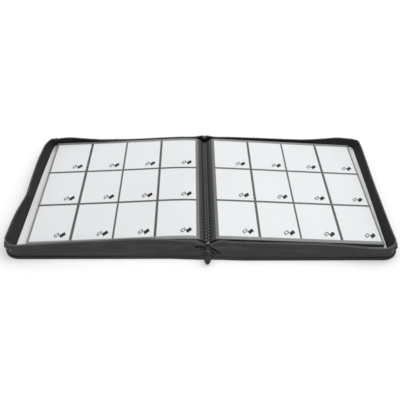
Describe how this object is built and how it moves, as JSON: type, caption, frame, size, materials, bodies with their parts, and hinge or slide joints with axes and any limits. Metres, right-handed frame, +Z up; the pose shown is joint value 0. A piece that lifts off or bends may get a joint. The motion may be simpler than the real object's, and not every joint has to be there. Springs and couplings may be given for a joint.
{
  "type": "trading card binder",
  "caption": "Zip-round card binder lying open: two walled covers on a folding spine, fanned pocket leaves with blank cards, zip slider with a swinging pull.",
  "frame": {"origin": "middle of the underside of the spine, on the surface that the binder lies on", "axes": "+X across the open covers to the right-hand one, +Y from the front edge with the zip's ends to the back edge, +Z up out of the open pages"},
  "size_m": [0.646, 0.3385, 0.0252],
  "materials": {
    "leatherette": "embossed matt black",
    "board": "plain",
    "lining": "smooth pale",
    "zip_tape": "woven",
    "zip_teeth": "satin",
    "zip_metal": "satin black",
    "page_sheet": "satin dark",
    "page_film": "clear",
    "card": "smooth white",
    "stop_metal": "satin"
  },
  "bodies": {
    "spine": {"spine_skin": "leatherette", "spine_board": "board", "spine_lining": "zip_tape", "binding_strip": "page_sheet", "left_gutter_web": "page_sheet", "left_front_gusset": "leatherette", "left_back_gusset": "leatherette", "right_gutter_web": "page_sheet", "right_front_gusset": "leatherette", "right_back_gusset": "leatherette", "zip_tail": "zip_tape", "zip_end_stop": "stop_metal", "back_zip_tab": "leatherette"},
    "left_cover": {"left_cover_skin": "leatherette", "left_cover_board": "board", "left_cover_lining": "lining", "left_piping": "leatherette", "left_wall": "leatherette", "left_zip_tape": "zip_tape", "left_zip_teeth": "zip_teeth"},
    "left_leaves": {"left_leaf_2_sheet": "page_sheet", "left_leaf_2_films": "page_film", "left_leaf_2_cards": "card", "left_leaf_3": "page_sheet", "left_leaf_4": "page_sheet", "left_leaf_5": "page_sheet", "left_leaf_6": "page_sheet", "left_leaf_7": "page_sheet", "left_leaf_8": "page_sheet", "left_leaf_9": "page_sheet", "left_leaf_10": "page_sheet"},
    "left_top_leaf": {"left_top_leaf_sheet": "page_sheet", "left_top_leaf_films": "page_film", "left_top_leaf_cards": "card"},
    "right_cover": {"right_cover_skin": "leatherette", "right_cover_board": "board", "right_cover_lining": "lining", "right_piping": "leatherette", "right_wall": "leatherette", "right_zip_tape": "zip_tape", "right_zip_teeth": "zip_teeth"},
    "right_leaves": {"right_leaf_2_sheet": "page_sheet", "right_leaf_2_films": "page_film", "right_leaf_2_cards": "card", "right_leaf_3": "page_sheet", "right_leaf_4": "page_sheet", "right_leaf_5": "page_sheet", "right_leaf_6": "page_sheet", "right_leaf_7": "page_sheet", "right_leaf_8": "page_sheet", "right_leaf_9": "page_sheet", "right_leaf_10": "page_sheet"},
    "right_top_leaf": {"right_top_leaf_sheet": "page_sheet", "right_top_leaf_films": "page_film", "right_top_leaf_cards": "card"},
    "zip_slider": {"zip_slider": "zip_metal"},
    "zip_pull": {"zip_pull": "zip_metal"}
  },
  "joints": [
    {"name": "left_cover_fold", "type": "hinge", "parent": "spine", "child": "left_cover", "pos_m": [-0.024, 0, 0.0015], "axis": [0, 1, 0], "range_deg": [0, 90], "deforming": ["left_gutter_web", "left_front_gusset", "left_back_gusset"]},
    {"name": "left_leaves_follow", "type": "hinge", "parent": "spine", "child": "left_leaves", "pos_m": [-0.019, 0, 0.007], "axis": [0, 1, 0], "range_deg": [0, 90]},
    {"name": "left_leaf_turn", "type": "hinge", "parent": "left_leaves", "child": "left_top_leaf", "pos_m": [0, 0, 0.02628], "axis": [0, -1, 0], "range_deg": [-174.1, 0]},
    {"name": "right_cover_fold", "type": "hinge", "parent": "spine", "child": "right_cover", "pos_m": [0.024, 0, 0.0015], "axis": [0, -1, 0], "range_deg": [0, 90], "deforming": ["right_gutter_web", "right_front_gusset", "right_back_gusset"]},
    {"name": "right_leaves_follow", "type": "hinge", "parent": "spine", "child": "right_leaves", "pos_m": [0.019, 0, 0.007], "axis": [0, -1, 0], "range_deg": [0, 90]},
    {"name": "right_leaf_turn", "type": "hinge", "parent": "right_leaves", "child": "right_top_leaf", "pos_m": [0, 0, 0.02628], "axis": [0, 1, 0], "range_deg": [-174.1, 0]},
    {"name": "zip_slide", "type": "slide", "parent": "spine", "child": "zip_slider", "axis": [0, 0, 1], "range_m": [0, 0.006]},
    {"name": "pull_swing", "type": "hinge", "parent": "zip_slider", "child": "zip_pull", "pos_m": [0, -0.1674, 0.019], "axis": [-1, 0, 0], "range_deg": [0, 135]}
  ],
  "couplings": [
    {"joint": "left_leaves_follow", "follows": "left_cover_fold", "ratio": 1},
    {"joint": "right_leaves_follow", "follows": "right_cover_fold", "ratio": 1}
  ]
}
